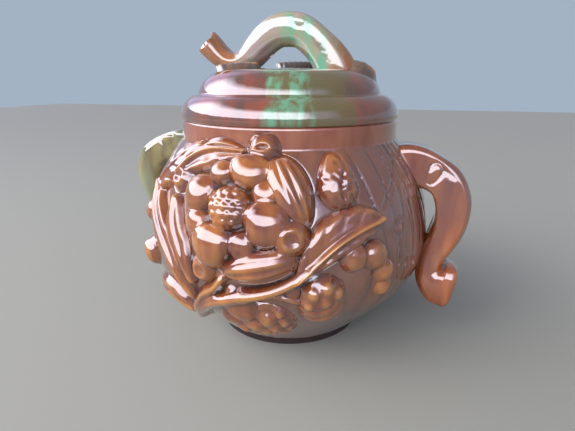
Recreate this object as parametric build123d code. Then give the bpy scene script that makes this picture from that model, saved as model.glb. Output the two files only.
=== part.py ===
"""Lidded earthenware jar with two branch handles and a band of moulded fruit, nuts and leaves.

The jar stands on the plane z = 0 with its axis on +Z. The handles are on +X and -X, and the middle of
one ornament panel faces -Y. Lengths are in millimetres and angles in degrees.

Places on the wall are given as (angle, height): the angle turns from -Y towards +X, and the height is a
percentage of the wall between the foot ring and the collar, so the ornament follows the jar's own size.
"""
from build123d import *
from math import atan2, cos, hypot, radians, sin, sqrt, tan
import os

os.makedirs("parts", exist_ok=True)

# ---- jar body
FOOT_R = 60.5           # outside of the unglazed foot ring
FOOT_BORE_R = 51.0      # inside of the foot ring
FOOT_H = 7.0            # height of the foot ring
FOOT_STEP = 3.0         # the wall starts this far outside the ring
RECESS_H = 4.5          # hollow under the floor, inside the ring
BELLY_R = 115.5         # widest radius of the wall
BELLY_Z = 85.0          # height of the widest place
BELLY_TURN_R = 63.0     # radius of the turn under the belly
COLLAR_R = 86.5         # outside of the straight collar
COLLAR_H = 14.7         # height of the collar
RIM_Z = 176.0           # top of the collar, where the lid rests
WALL = 7.0              # thickness of the wall and floor
COLLAR_WALL = 8.5       # thickness of the collar
RIM_ROUND = 2.0         # rounding on both edges of the collar
FOOT_ROUND = 1.5        # rounding under the foot ring

# ---- lid
LID_OVERHANG = 0.5      # lower tier beyond the collar
LID_EDGE_H = 4.0        # straight edge of the lower tier
TIER_1_H = 19.0         # lower tier, up to the waist
TIER_1_STEP = 14.0      # from the edge of the lid in to the waist, the groove between the tiers
TIER_2_H = 17.5         # upper tier
TIER_2_STEP = 23.0      # from the waist in to the edge of the nearly flat top
LID_CROWN = 2.0         # rise of the top at its middle
TIER_1_BULGE = 3.2      # how far each tier's section bows out
TIER_2_BULGE = 5.0
LID_WALL = 6.0
FLANGE_H = 12.0         # ring under the lid that drops into the collar
FLANGE_WALL = 5.5
FLANGE_PLAY = 2.0       # radial gap between that ring and the collar's bore

# ---- handles
HANDLE_THICK = 24.0     # side handle, across the branch
HANDLE_DROP = 20.3      # where the branch leaves the wall, below the shoulder
HANDLE_OUT = 17.5       # branch centre line beyond the belly
HANDLE_LOW = 16.0       # where the branch comes back to the wall, below the widest place
HANDLE_REST = 9.0       # how far its centre line stands off the wall there
HANDLE_BEND_R = 26.0
LOW_RUN = 25.0          # height of the right branch's lower bend above where it meets the wall
LEFT_RISE = 8.0         # the left branch leaves the wall this much higher
LEFT_OUT = 25.0         # its one bend beyond the belly
LEFT_DIP = 3.0          # that bend below the right branch's top
LEFT_BEND_R = 21.0
TAIL_R = 15.5           # flared, cut end of the branch
TAIL_OUT = 17.5         # its middle beyond the belly
TAIL_FALL = 42.5        # its middle below the widest place
TAIL_DROP = 20.0        # length over which it flares, measured upright
LOOP_THICK = 26.0       # lid handle, across the branch
LOOP_RISE = 31.0        # centre line above the lid's top at the middle of the loop
LOOP_INSET = 13.0       # each foot's centre line inside the edge of the lid's top
LOOP_LEAN = 3.0         # each leg leans in by this much on its way up
LOOP_BEND_R = 33.0
STUB_REACH = 32.0       # the sawn end of the loop's side shoot, beyond its foot
STUB_START = 3.0        # the shoot starts this much above the lid's top
STUB_RISE = 22.0
STUB_R = 11.5

# ---- ornament
ROOT = 30.0             # how deep a cutting prism starts under the wall
TIP_R = 0.8             # blunt tip of a long fruit
PATTERN_H = 154.0       # the fruit keeps its size on a wall at least this high, from foot to collar
LEAF_T = 4.5            # how far a leaf stands off the wall
BRANCH_T = 6.0          # how far a branch stands off the wall
BRANCH_W = 9.0
TWIG_W = 7.0
TURN_TO_BACK = 180.0    # the second panel is the first one turned round the axis
NEAR = 0.01             # how close two lengths are when they are meant to be the same

# ---- worked out from the sizes above
SHOULDER_Z = RIM_Z - COLLAR_H
MOUTH_R = COLLAR_R - COLLAR_WALL
LID_R = COLLAR_R + LID_OVERHANG
WAIST_R = LID_R - TIER_1_STEP
LID_TOP_R = WAIST_R - TIER_2_STEP
LID_TOP_Z = RIM_Z + TIER_1_H + TIER_2_H
HANDLE_TOP = SHOULDER_Z - HANDLE_DROP
TAIL_Z = BELLY_Z - TAIL_FALL
LOOP_REACH = LID_TOP_R - LOOP_INSET


def upper_turn():
    """Radius of the wall's arc from the belly up to the collar."""
    out, up = BELLY_R - COLLAR_R, SHOULDER_Z - BELLY_Z
    return (out ** 2 + up ** 2) / (2 * out)


def lower_tangent(offset=0.0):
    """Where the straight lower wall runs into the turn under the belly, and the unit normal there."""
    start_r, start_z = FOOT_R + FOOT_STEP, FOOT_H
    centre_r, centre_z = BELLY_R - BELLY_TURN_R, BELLY_Z
    away = hypot(start_r - centre_r, start_z - centre_z)
    toward = atan2(start_z - centre_z, start_r - centre_r)
    spread = atan2(sqrt(away ** 2 - BELLY_TURN_R ** 2), BELLY_TURN_R)
    normal_r, normal_z = cos(toward + spread), sin(toward + spread)
    reach = BELLY_TURN_R + offset
    return (centre_r + normal_r * reach, centre_z + normal_z * reach), (normal_r, normal_z)


def wall_at(z):
    """Outside radius of the wall at a height, and the outward normal as (radial, vertical)."""
    (tangent_r, tangent_z), normal = lower_tangent()
    if z >= SHOULDER_Z:
        return COLLAR_R, (1.0, 0.0)
    if z >= tangent_z:
        turn = upper_turn() if z > BELLY_Z else BELLY_TURN_R
        rise = (z - BELLY_Z) / turn
        level = sqrt(1 - rise ** 2)
        return BELLY_R - turn + turn * level, (level, rise)
    return tangent_r + (tangent_z - z) * normal[1] / normal[0], normal


def outside(offset=0.0):
    """The jar as one filled solid, from the table to the rim, with its wall moved out by offset."""
    (tangent_r, tangent_z), normal = lower_tangent(offset)
    start = (FOOT_R + FOOT_STEP + offset / normal[0], FOOT_H)
    belly = (BELLY_R + offset, BELLY_Z)
    turn = upper_turn()
    shoulder_rise = sqrt((turn + offset) ** 2 - (COLLAR_R + offset - BELLY_R + turn) ** 2)
    shoulder = (COLLAR_R + offset, BELLY_Z + shoulder_rise)
    with BuildPart() as solid:
        with BuildSketch(Plane.XZ):
            with BuildLine():
                Polyline((0, 0), (FOOT_R, 0), (FOOT_R, FOOT_H), start, (tangent_r, tangent_z))
                RadiusArc((tangent_r, tangent_z), belly, -(BELLY_TURN_R + offset))
                RadiusArc(belly, shoulder, -(turn + offset))
                Polyline(shoulder, (COLLAR_R + offset, RIM_Z), (0, RIM_Z), (0, 0))
            make_face()
        revolve(axis=Axis.Z)
    return solid.part


def hollow():
    """The space inside the jar, up through the mouth."""
    (tangent_r, tangent_z), normal = lower_tangent(-WALL)
    floor_z = RECESS_H + WALL
    floor_r = tangent_r + (tangent_z - floor_z) * normal[1] / normal[0]
    belly = (BELLY_R - WALL, BELLY_Z)
    turn = upper_turn() - WALL
    neck_z = BELLY_Z + sqrt(turn ** 2 - (MOUTH_R - BELLY_R + WALL + turn) ** 2)
    above_rim = RIM_Z + 1
    with BuildPart() as solid:
        with BuildSketch(Plane.XZ):
            with BuildLine():
                Polyline((0, above_rim), (0, floor_z), (floor_r, floor_z), (tangent_r, tangent_z))
                RadiusArc((tangent_r, tangent_z), belly, -(BELLY_TURN_R - WALL))
                RadiusArc(belly, (MOUTH_R, neck_z), -turn)
                Polyline((MOUTH_R, neck_z), (MOUTH_R, above_rim), (0, above_rim))
            make_face()
        revolve(axis=Axis.Z)
    return solid.part


def make_jar_shell(core):
    """Thrown body in one piece: foot ring, floor, wall and collar."""
    shell = core - hollow() - Pos(0, 0, RECESS_H / 2) * Cylinder(FOOT_BORE_R, RECESS_H)
    rim = [e for e in shell.edges().filter_by(GeomType.CIRCLE) if abs(e.center().Z - RIM_Z) < NEAR]
    shell = fillet(rim, RIM_ROUND)
    ring = [e for e in shell.edges().filter_by(GeomType.CIRCLE)
            if abs(e.center().Z) < NEAR and abs(e.radius - FOOT_R) < NEAR]
    return fillet(ring, FOOT_ROUND)


def lid_outline():
    """The lid's outer edge from the seat up to the top of its crown, as build lines."""
    edge = (LID_R, RIM_Z + LID_EDGE_H)
    waist = (WAIST_R, RIM_Z + TIER_1_H)
    Line((LID_R, RIM_Z), edge)
    SagittaArc(edge, waist, -TIER_1_BULGE)
    SagittaArc(waist, (LID_TOP_R, LID_TOP_Z), -TIER_2_BULGE)
    crown = (0, LID_TOP_Z + LID_CROWN)
    crown_turn = (LID_TOP_R ** 2 + LID_CROWN ** 2) / (2 * LID_CROWN)
    RadiusArc((LID_TOP_R, LID_TOP_Z), crown, -crown_turn)
    return crown


def lid_core():
    """The lid as a filled solid, used to trim what stands on it."""
    with BuildPart() as solid:
        with BuildSketch(Plane.XZ):
            with BuildLine():
                crown = lid_outline()
                Polyline(crown, (0, RIM_Z), (LID_R, RIM_Z))
            make_face()
        revolve(axis=Axis.Z)
    return solid.part


def make_lid_shell():
    """Hollow two-tier lid with the ring that centres it in the collar."""
    flange_r = MOUTH_R - FLANGE_PLAY
    flange_in = flange_r - FLANGE_WALL
    flange_z = RIM_Z - FLANGE_H
    waist_in = (WAIST_R - 2 * LID_WALL, RIM_Z + TIER_1_H + LID_WALL / 2)
    top_in = (LID_TOP_R - LID_WALL, LID_TOP_Z - LID_WALL)
    with BuildPart() as solid:
        with BuildSketch(Plane.XZ):
            with BuildLine():
                crown = lid_outline()
                Polyline(crown, (0, top_in[1]), top_in, waist_in,
                         (flange_in, RIM_Z + LID_EDGE_H), (flange_in, flange_z),
                         (flange_r, flange_z), (flange_r, RIM_Z), (LID_R, RIM_Z))
            make_face()
        revolve(axis=Axis.Z)
    return solid.part


def branch(path_points, bend, across, deep):
    """A round branch swept along straight runs joined by arcs, in the XZ plane."""
    with BuildPart() as solid:
        with BuildLine(Plane.XZ) as path:
            FilletPolyline(*path_points, radius=bend)
        with BuildSketch(path.line ^ 0):
            Ellipse(across / 2, deep / 2)
        sweep()
    return solid.part


def neck():
    """Where a side handle's branch ends its bow, close to the lower wall, and its flared tail starts."""
    return wall_at(BELLY_Z - HANDLE_LOW)[0] + HANDLE_REST, TAIL_Z + TAIL_DROP


def make_side_handle(core, bow_points, bend):
    """Bent branch on the +X side: root in the wall, bow, and a flared sawn end below."""
    bow = branch(bow_points + [neck()], bend, HANDLE_THICK, HANDLE_THICK)
    neck_x, neck_z = neck()
    start = Vector(neck_x, 0, neck_z)
    run = Vector(BELLY_R + TAIL_OUT, 0, TAIL_Z) - start
    tail = Plane(start, z_dir=run) * Cone(
        HANDLE_THICK / 2 - 1, TAIL_R, run.length, align=(Align.CENTER, Align.CENTER, Align.MIN))
    return bow + tail - core


def make_right_handle(core):
    """The right branch: level off the wall, then straight down, then in to the wall."""
    root_x, out_x = BELLY_R - HANDLE_THICK, BELLY_R + HANDLE_OUT
    neck_x, neck_z = neck()
    lower_bend = min(BELLY_Z - HANDLE_LOW + LOW_RUN, (HANDLE_TOP + neck_z) / 2)
    half_turn = atan2(out_x - neck_x, lower_bend - neck_z) / 2
    room = (HANDLE_TOP - lower_bend) / (1 + tan(half_turn))
    bend = min(HANDLE_BEND_R, room - NEAR)
    return make_side_handle(core, [(root_x, HANDLE_TOP), (out_x, HANDLE_TOP), (out_x, lower_bend)], bend)


def make_left_handle(core):
    """The left branch starts higher, slopes down and has one sharper bend. It is made on the +X side too."""
    root = (BELLY_R - HANDLE_THICK, HANDLE_TOP + LEFT_RISE)
    corner = (BELLY_R + LEFT_OUT, HANDLE_TOP - LEFT_DIP)
    return make_side_handle(core, [root, corner], LEFT_BEND_R)


def make_lid_handle(lid_solid):
    """Branch looped over the lid along X, with a short sawn side shoot beyond its -X foot."""
    foot_z = LID_TOP_Z - LOOP_THICK / 3
    top_z = LID_TOP_Z + LOOP_RISE
    knee = LOOP_REACH - LOOP_LEAN
    loop = branch([(-LOOP_REACH, foot_z), (-knee, top_z), (knee, top_z), (LOOP_REACH, foot_z)],
                  LOOP_BEND_R, LOOP_THICK, LOOP_THICK)
    start = Vector(-LOOP_REACH, 0, LID_TOP_Z + STUB_START)
    run = Vector(-LOOP_REACH - STUB_REACH, 0, LID_TOP_Z + STUB_RISE) - start
    shoot = Plane(start, z_dir=run) * Cylinder(
        STUB_R, run.length, align=(Align.CENTER, Align.CENTER, Align.MIN))
    return loop + shoot - lid_solid


# ---- ornament, built on the wall -------------------------------------------------------------------
def height(percent):
    """Height on the wall, from a percentage between the foot ring and the collar."""
    return FOOT_H + (SHOULDER_Z - FOOT_H) * percent / 100


def on_wall(angle, percent):
    """Plane on the wall: x runs round the jar, y up the wall and z outwards."""
    z = height(percent)
    r, (normal_r, normal_z) = wall_at(z)
    a = radians(angle)
    return Plane(origin=(r * sin(a), -r * cos(a), z), x_dir=(cos(a), sin(a), 0),
                 z_dir=(normal_r * sin(a), -normal_r * cos(a), normal_z))


def ball(angle, percent, radius, sink=0.2):
    """A round berry or nut, pressed into the wall by a share of its radius."""
    fitted = radius * pattern_scale()
    return on_wall(angle, percent) * Pos(0, 0, -sink * fitted) * Sphere(fitted)


def pattern_scale():
    """How much smaller the fruit is pressed when the wall is lower than the pattern's own height."""
    return min(1.0, (SHOULDER_Z - FOOT_H) / PATTERN_H)


def spindle(length, width):
    """A long fruit along Y, widest in the middle and blunt at both tips."""
    half = length / 2
    with BuildPart() as solid:
        with BuildSketch(Plane.XY):
            with BuildLine():
                Polyline((TIP_R, half), (0, half), (0, -half), (TIP_R, -half))
                ThreePointArc((TIP_R, -half), (width / 2, 0), (TIP_R, half))
            make_face()
        revolve(axis=Axis.Y)
    return solid.part


def long_fruit(angle, percent, length, width, lean=0.0, sink=0.25):
    """A spindle on the wall, leaning from upright and pressed in by a share of its radius."""
    fitted_length, fitted_width = length * pattern_scale(), width * pattern_scale()
    seat = on_wall(angle, percent) * Rot(0, 0, lean) * Pos(0, 0, -sink * fitted_width / 2)
    return seat * spindle(fitted_length, fitted_width)


def tile(places, skin, core):
    """A leaf: an outline drawn on the wall and cut from the skin that covers the wall."""
    middle = on_wall(sum(a for a, p in places) / len(places), sum(p for a, p in places) / len(places))
    corners = [middle.to_local_coords(on_wall(a, p).origin) for a, p in places]
    flat = middle.offset(-ROOT) * Polygon(*[(c.X, c.Y) for c in corners], align=None)
    prism = extrude(flat, amount=2 * ROOT, dir=middle.z_dir)
    return (prism & skin) - core


def strip(places, width, skin, core):
    """A branch: a band of even width along places on the wall."""
    left, right = [], []
    for i, (angle, percent) in enumerate(places):
        before, after = places[max(i - 1, 0)], places[min(i + 1, len(places) - 1)]
        per_degree = radians(wall_at(height(percent))[0])
        per_percent = (SHOULDER_Z - FOOT_H) / 100
        along = Vector((after[0] - before[0]) * per_degree, (after[1] - before[1]) * per_percent).normalized()
        aside = Vector(-along.Y / per_degree, along.X / per_percent) * (width / 2)
        left.append((angle + aside.X, percent + aside.Y))
        right.append((angle - aside.X, percent - aside.Y))
    return tile(left + right[::-1], skin, core)


def panel(core):
    """Every sprig of one ornament panel, from the top of the pile down to what lies under it."""
    leaf_skin, branch_skin = outside(LEAF_T), outside(BRANCH_T)
    fruit = {
        "rose_hips": [ball(5.8, 100.3, 9), ball(-29.5, 86, 8.5), ball(17, 66.9, 10), ball(-12.5, 51.3, 9)],
        "hazelnuts": [ball(-16.5, 81.8, 11), ball(2.5, 90.6, 10.5), ball(-9, 62.3, 12), ball(8.5, 70.8, 12)],
        "berries": [ball(-9, 89.6, 6.5), ball(8.5, 83.4, 7), ball(-15, 71.1, 7.5), ball(2, 64.9, 7.5)],
        "cherries": [ball(38, 57.1, 8.5), ball(45.5, 56.2, 8.5), ball(50, 48, 7), ball(51, 39.6, 6.5)],
        "buds": [ball(17.5, 43.8, 4.5), ball(-3, 42, 4.5), ball(-6, 50.3, 4)],
        "bramble": [ball(-3.5, 77.9, 12)],
        "almond_pod": [long_fruit(16.6, 85.2, 43, 24, lean=22)],
        "walnut": [long_fruit(34.5, 88.6, 40, 26)],
        "broad_bean": [long_fruit(7.5, 55, 47, 22, lean=-72)],
        "husked_nut": [long_fruit(28, 37, 38, 26, lean=12)],
        "side_fruit": [ball(-53, 43.5, 9.5)],
        "side_pod": [long_fruit(-42, 27, 46, 20, lean=58)],
    }
    tiles = {
        "fir_cone": tile([(-14, 16), (-14, 27), (-8, 35), (2, 38), (14, 38), (20, 32), (21, 22), (14, 12),
                          (-4, 11)], leaf_skin, core),
        "top_leaf": tile([(-33, 91), (-29, 98), (-20, 103.5), (-10, 104), (-1, 100), (-2, 98),
                          (-10, 92.5), (-23, 89)], leaf_skin, core),
        "serrated_leaf": tile([(-19, 100), (-27, 103), (-38, 92), (-46, 83), (-42, 78), (-33, 80),
                               (-25, 91)], leaf_skin, core),
        "long_leaf": tile([(-36, 80), (-48, 79), (-47, 68), (-36, 58), (-26, 48), (-18, 38), (-19, 45),
                           (-29, 60)], leaf_skin, core),
        "inner_leaf": tile([(-23, 79), (-27, 74), (-26, 62), (-18, 46), (-15, 42), (-17, 54),
                            (-18.5, 68)], leaf_skin, core),
        "broad_leaf": tile([(22, 54), (24, 66), (28, 75), (38, 78), (46, 74), (49, 67), (42, 63),
                            (33, 56), (25, 49)], leaf_skin, core),
    }
    branches = {
        "main_branch": strip([(-22, 26), (-10, 35), (0, 39.3), (10, 44.2), (20, 50.3), (27, 57)],
                             BRANCH_W, branch_skin, core),
        "twig": strip([(-18, 34), (-11, 41), (-4, 47)], TWIG_W, branch_skin, core),
    }
    sprigs = {name: [solid - core for solid in solids] for name, solids in fruit.items()}
    sprigs.update({name: [solid] for name, solid in branches.items()})
    sprigs.update({name: [solid] for name, solid in tiles.items()})
    placed, trimmed = [], {}
    for name, solids in sprigs.items():
        kept = []
        for solid in solids:
            for other in placed:
                if boxes_meet(solid, other):
                    solid = solid - other
            left_over = solid.solids()
            if not left_over:
                print("hidden under the others:", name)
                continue
            largest = max(left_over, key=lambda s: s.volume)
            kept.append(largest)
            placed.append(largest)
        trimmed[name] = kept
    return {name: kept for name, kept in trimmed.items() if kept}


def boxes_meet(one, other):
    """Whether two solids are near enough to need trimming to each other."""
    a, b = one.bounding_box(), other.bounding_box()
    return (a.min.X < b.max.X and b.min.X < a.max.X and a.min.Y < b.max.Y and b.min.Y < a.max.Y
            and a.min.Z < b.max.Z and b.min.Z < a.max.Z)


def lid_leaf(x, y, slope, length, width, turn, rise, lid_solid):
    """A fleshy leaf pressed on the lid: turn is about the vertical, slope tips its far end down."""
    seat = Pos(x, y, LID_TOP_Z + LID_CROWN / 2) * Rot(0, 0, turn) * Rot(0, slope, 0)
    return seat * Pos(0, 0, rise - width / 2) * Rot(0, 0, 90) * spindle(length, width) - lid_solid


def save(name, shape):
    export_step(shape, f"parts/{name}.step")


def main():
    core = outside()
    lid_solid = lid_core()
    save("jar_shell", make_jar_shell(core))
    save("right_handle", make_right_handle(core))
    save("left_handle", Rot(0, 0, TURN_TO_BACK) * make_left_handle(core))
    for name, solids in panel(core).items():
        front = Compound(children=list(solids)) if len(solids) > 1 else solids[0]
        save(f"front_{name}", front)
        save(f"back_{name}", Rot(0, 0, TURN_TO_BACK) * front)
    save("lid_shell", make_lid_shell())
    loop = make_lid_handle(lid_solid)
    save("lid_handle", loop)
    edge = LID_TOP_R
    save("lid_left_leaf", lid_leaf(7 - edge, -17, 0, 36, 20, 10, 7, lid_solid) - loop)
    save("lid_veined_leaf", lid_leaf(4, edge - 23, 0, 40, 20, 0, 7, lid_solid) - loop)
    save("lid_shoulder_leaf", lid_leaf(edge + 7, 3, 32, 34, 24, 8, 5, lid_solid) - loop)


main()
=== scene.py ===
# %% [markdown]
# A relief-moulded earthenware jar with a lift-off lid.
# The jar is a turned pot. A pile of nuts, hips, leaves and a branch is pressed from a mould on two of
# its sides, two bent branches serve as handles, and a third branch is looped over the lid.
# The whole thing is dipped in a brown lead glaze that runs off the high places and pools in the low ones; the
# low places are also painted darker as crease shade.
# This first cell loads the frame made in CAD. Every piece below is placed from it.

# %% Load the frame
import bpy
import bmesh
import numpy as np
from math import atan2, cos, degrees, hypot, pi, radians, sin, sqrt
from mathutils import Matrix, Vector


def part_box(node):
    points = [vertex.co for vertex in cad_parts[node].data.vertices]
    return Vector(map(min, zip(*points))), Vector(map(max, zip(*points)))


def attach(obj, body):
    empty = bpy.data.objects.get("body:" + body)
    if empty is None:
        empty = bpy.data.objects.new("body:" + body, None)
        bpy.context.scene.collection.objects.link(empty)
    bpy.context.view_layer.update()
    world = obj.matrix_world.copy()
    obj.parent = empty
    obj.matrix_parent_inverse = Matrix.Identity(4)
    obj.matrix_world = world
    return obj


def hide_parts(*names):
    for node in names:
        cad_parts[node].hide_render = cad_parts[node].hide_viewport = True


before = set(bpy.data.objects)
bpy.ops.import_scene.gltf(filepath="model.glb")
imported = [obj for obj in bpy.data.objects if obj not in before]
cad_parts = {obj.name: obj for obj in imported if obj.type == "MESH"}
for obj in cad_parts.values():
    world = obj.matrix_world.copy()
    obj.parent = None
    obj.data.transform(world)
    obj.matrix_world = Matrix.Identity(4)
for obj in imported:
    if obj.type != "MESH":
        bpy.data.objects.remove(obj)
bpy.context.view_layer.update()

MM = 0.001
jar_low, jar_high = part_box("jar_shell")
lid_low, lid_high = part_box("lid_shell")
print("jar from", jar_low, "to", jar_high)
print("lid from", lid_low, "to", lid_high)

# %% [markdown]
# The pot's section is a straight flare off the foot ring, a turn under the belly, a long easy curve up
# to the shoulder, and an upright collar. A potter thinks of it as a template held against the clay.
# It is kept as a formula here, because each sprig has to be laid on it: the formula gives the wall's
# radius and the direction square to the wall at any height. All sizes in this part are in millimetres.

# %% The wall as a formula
BELLY_R = jar_high[0] / MM
RIM_Z = jar_high[2] / MM
FOOT_R, FOOT_H, FOOT_STEP = 60.5, 7.0, 3.0
FOOT_BORE_R, RECESS_H = 51.0, 4.5
BELLY_Z, BELLY_TURN_R = 85.0, 63.0
COLLAR_R, COLLAR_H, MOUTH_R, WALL = 86.5, 14.7, 78.0, 7.0
SHOULDER_Z = RIM_Z - COLLAR_H


def upper_turn():
    out, up = BELLY_R - COLLAR_R, SHOULDER_Z - BELLY_Z
    return (out ** 2 + up ** 2) / (2 * out)


def lower_tangent():
    """Where the straight flare runs into the turn under the belly, and the direction square to it."""
    centre_r = BELLY_R - BELLY_TURN_R
    dr, dz = FOOT_R + FOOT_STEP - centre_r, FOOT_H - BELLY_Z
    spread = atan2(sqrt(dr ** 2 + dz ** 2 - BELLY_TURN_R ** 2), BELLY_TURN_R)
    a = atan2(dz, dr) + spread
    return centre_r + BELLY_TURN_R * cos(a), BELLY_Z + BELLY_TURN_R * sin(a), cos(a), sin(a)


TANGENT_R, TANGENT_Z, FLARE_NR, FLARE_NZ = lower_tangent()


def wall_radius(z):
    """Outside radius of the pot at heights z."""
    turn = upper_turn()
    high = BELLY_R - turn + np.sqrt(np.clip(turn ** 2 - (z - BELLY_Z) ** 2, 0, None))
    low = BELLY_R - BELLY_TURN_R + np.sqrt(np.clip(BELLY_TURN_R ** 2 - (z - BELLY_Z) ** 2, 0, None))
    flare = TANGENT_R + (TANGENT_Z - z) * FLARE_NZ / FLARE_NR
    r = np.where(z > BELLY_Z, high, np.where(z > TANGENT_Z, low, flare))
    return np.where(z >= SHOULDER_Z, COLLAR_R, r)


def smooth(values, reach, axis=0):
    """A running average, three times over, which is close to a bell-shaped blur."""
    kernel = np.ones(2 * reach + 1) / (2 * reach + 1)
    for _ in range(3):
        pad = [(0, 0)] * values.ndim
        pad[axis] = (reach, reach)
        values = np.apply_along_axis(np.convolve, axis, np.pad(values, pad, mode="edge"), kernel, "valid")
    return values


WALL_Z = np.linspace(FOOT_H, RIM_Z, 1200)
WALL_R = wall_radius(WALL_Z)
WALL_S = np.concatenate([[0], np.cumsum(np.hypot(np.diff(WALL_R), np.diff(WALL_Z)))])
NORMAL_BLUR = 25
WALL_SLOPE = smooth(np.arctan2(np.gradient(WALL_R), np.gradient(WALL_Z)), NORMAL_BLUR)


def up_wall(percent):
    """Distance along the wall from the foot, for a height given in percent of the wall."""
    z = FOOT_H + (SHOULDER_Z - FOOT_H) * percent / 100
    return np.interp(z, WALL_Z, WALL_S)


print("wall length, mm:", round(float(WALL_S[-1]), 1))

# %% [markdown]
# Pressed relief has no undercuts, or it would not leave the mould. So it can be described as a height
# above the wall at each spot, which is the way a mould carver sees it: how deep to cut where.
# The ornament panel is laid out flat as a fine grid of angle round the pot and distance up the wall.
# Each fruit or leaf is a small formula that gives its height over that grid, and falls below zero
# outside its own outline. A few general shapes come first: a dome, and a line to measure from.

# %% The flat panel and the shapes drawn on it
GRID = 0.6                              # spacing of the panel grid
PANEL_LEFT, PANEL_RIGHT = -86.0, 60.0   # degrees round the pot from its front
PANEL_S = np.arange(up_wall(0.5), WALL_S[-1] - 4, GRID)
PANEL_A = np.arange(PANEL_LEFT, PANEL_RIGHT, degrees(GRID / BELLY_R))
A, S = np.meshgrid(PANEL_A, PANEL_S)
R = np.interp(S, WALL_S, WALL_R)
FALL = 1.3                              # how steeply a formula falls away outside its outline


def from_spot(angle, percent, lean=0.0):
    """Distances right and up from a spot on the wall, turned to lean from upright."""
    x = np.radians(A - angle) * R
    y = S - up_wall(percent)
    c, s = cos(radians(lean)), sin(radians(lean))
    return x * c + y * s, y * c - x * s


def dome(x, y, half_w, half_h, high, blunt=2.0):
    rho = (np.abs(x / half_w) ** blunt + np.abs(y / half_h) ** blunt) ** (1 / blunt)
    inside = high * np.clip(1 - rho ** 2.2, 0, 1) ** 0.55
    return np.where(rho < 1, inside, (1 - rho) * min(half_w, half_h) * FALL), rho


def dip(x, width):
    return np.exp(-(x / width) ** 2)


def spline(stations, steps=10):
    """Rows of numbers along a smooth curve that passes through every station."""
    pts = np.array(stations, float)
    ext = np.vstack([2 * pts[0] - pts[1], pts, 2 * pts[-1] - pts[-2]])
    out = []
    for i in range(1, len(ext) - 2):
        p0, p1, p2, p3 = ext[i - 1:i + 3]
        for t in np.linspace(0, 1, steps, endpoint=False):
            out.append(0.5 * (2 * p1 + (p2 - p0) * t + (2 * p0 - 5 * p1 + 4 * p2 - p3) * t * t
                              + (3 * p1 - p0 - 3 * p2 + p3) * t ** 3))
    return np.array(out + [ext[-2]])


def line_through(places):
    """A smooth line through places, as points right and up from its middle place, plus that middle."""
    middle = places[len(places) // 2]
    flat = []
    for angle, percent in places:
        r = wall_radius(np.interp(up_wall(percent), WALL_S, WALL_Z))
        flat.append((radians(angle - middle[0]) * r, up_wall(percent) - up_wall(middle[1])))
    return spline(flat), middle


def from_line(places):
    """For each spot of the panel: share along the line, signed distance to it, and its length."""
    line, middle = line_through(places)
    x, y = from_spot(*middle)
    lengths = np.hypot(*np.diff(line, axis=0).T)
    total, done = lengths.sum(), 0.0
    near = np.full(x.shape, 1e9)
    share, side = np.zeros(x.shape), np.ones(x.shape)
    for (ax, ay), (bx, by), length in zip(line[:-1], line[1:], lengths):
        ux, uy = (bx - ax) / length, (by - ay) / length
        t = np.clip((x - ax) * ux + (y - ay) * uy, 0, length)
        d = np.hypot(x - ax - t * ux, y - ay - t * uy)
        new = d < near
        near = np.where(new, d, near)
        share = np.where(new, (done + t) / total, share)
        side = np.where(new, np.sign(ux * (y - ay) - uy * (x - ax)), side)
        done += length
    return share, near * np.where(side == 0, 1, side), total


print("panel grid", A.shape)

# %% [markdown]
# Now the fruit. A hazelnut is a dome with a pointed tip and a worn cap. A rose hip has a raised ring
# round a pit, where the flower was. A bramble is a dome covered in little domes. The grooves are cut
# as narrow dips, so their width is a real width in millimetres and the glaze can lie in them.

# %% Fruit and nuts
BEAD = 5.4                  # one little dome of a bramble
BEAD_ROW = 0.87 * BEAD      # rows of round things sit closer than the things in a row


def hazelnut(angle, percent, w, h, high, lean=0):
    x, y = from_spot(angle, percent, lean)
    narrow = 1 + 0.28 * np.clip(-y / h, -0.3, 1)
    body, rho = dome(x * narrow, y, w, h, high, 2.3)
    cap = 0.5 * dip(y - 0.55 * h + 0.04 * x ** 2, 0.7) * (rho < 0.95)
    return body - cap


def berry(angle, percent, r, high=None):
    x, y = from_spot(angle, percent)
    return dome(x, y, r, r, high or 0.85 * r)[0]


def rose_hip(angle, percent, r, high, lean=0):
    x, y = from_spot(angle, percent, lean)
    body, rho = dome(x, y, r, r * 1.02, high, 2.2)
    turn = np.arctan2(y, x)
    ring = 1.1 * dip(rho - 0.5, 0.13) * (1 + 0.25 * np.cos(5 * turn))
    pit = 2.6 * dip(rho, 0.3) - 0.9 * dip(rho, 0.1)
    return body + ring * (rho < 1) - pit * (rho < 1)


def bramble(angle, percent, r, high):
    x, y = from_spot(angle, percent)
    body, rho = dome(x, y, r, r, high)
    row = np.round(y / BEAD_ROW)
    u = x / BEAD - 0.5 * (row % 2)
    du, dv = u - np.round(u), y / BEAD_ROW - row
    bead = np.sqrt(np.clip(1 - (du / 0.56) ** 2 - (dv / 0.6) ** 2, 0, 1))
    return body + np.where(rho < 1, 2.3 * bead - 1.2, 0)


def almond_pod(angle, percent, w, h, high, lean, ribs, taper=0.0):
    """A long pod with grooves that meet at its tips."""
    x, y = from_spot(angle, percent, lean)
    body, rho = dome(x * (1 + taper * y / h), y, w, h, high, 1.9)
    across = x / (w * np.sqrt(np.clip(1 - (y / h) ** 2, 0.04, 1)))
    for place, deep in ribs:
        body = body - np.where(rho < 1, deep * dip(across - place, 0.09), 0)
        body = body + np.where(rho < 1, 0.35 * deep * dip(across - place - 0.17, 0.1), 0)
    return body


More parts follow.
